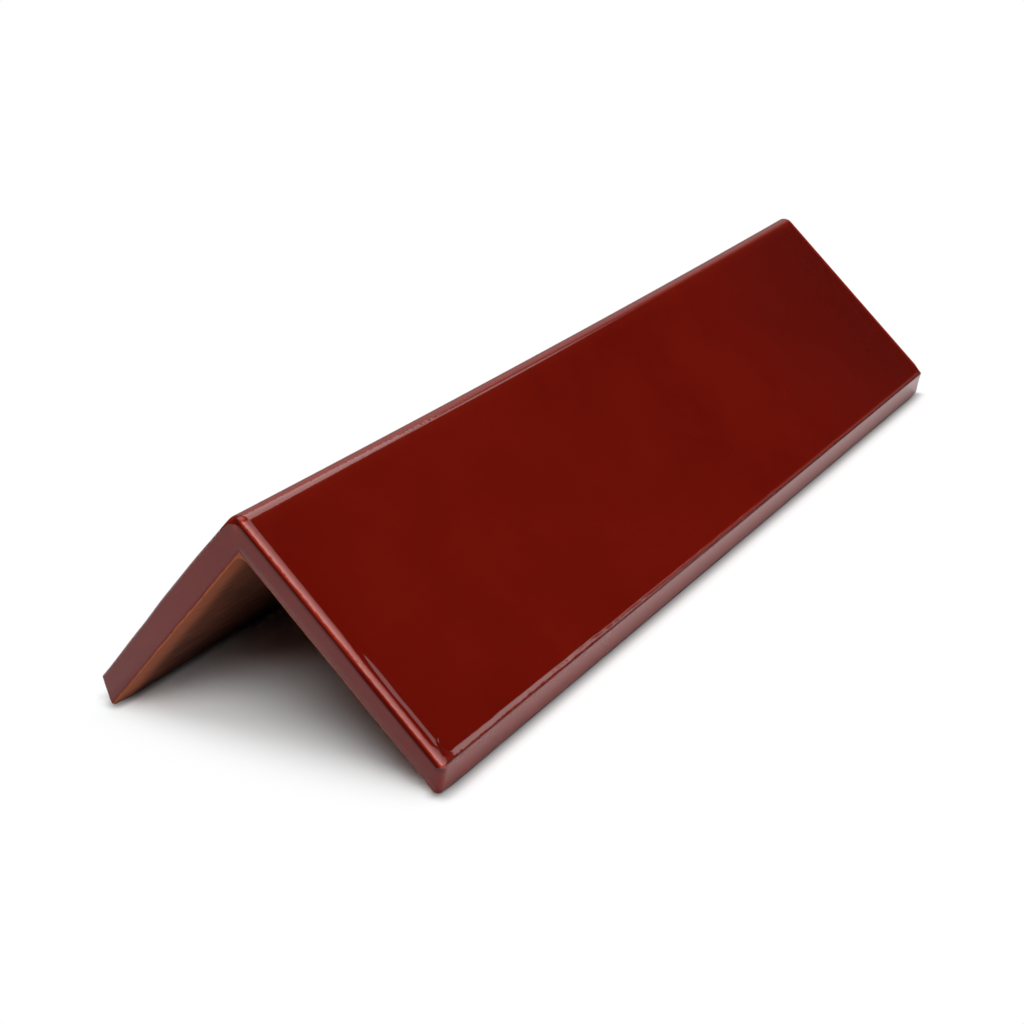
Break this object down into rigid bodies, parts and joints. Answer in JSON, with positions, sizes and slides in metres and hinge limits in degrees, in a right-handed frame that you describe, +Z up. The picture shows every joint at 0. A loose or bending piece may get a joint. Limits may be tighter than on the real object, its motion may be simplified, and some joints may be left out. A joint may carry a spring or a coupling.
{
  "type": "verge roof tile",
  "caption": "Glazed clay angle tile with two equal legs that caps the verge or ridge edge of a roof.",
  "frame": {"origin": "on the ground under the ridge, midway between the two feet and midway along the length", "axes": "+Y along the ridge, +Z up from the feet to the ridge, +X towards one foot"},
  "size_m": [0.1384, 0.4, 0.0792],
  "materials": {
    "glazed_clay": "glossy transparent red-brown glaze over orange-brown clay, bare clay inside"
  },
  "bodies": {
    "root": {"verge_tile": "glazed_clay"}
  },
  "joints": []
}
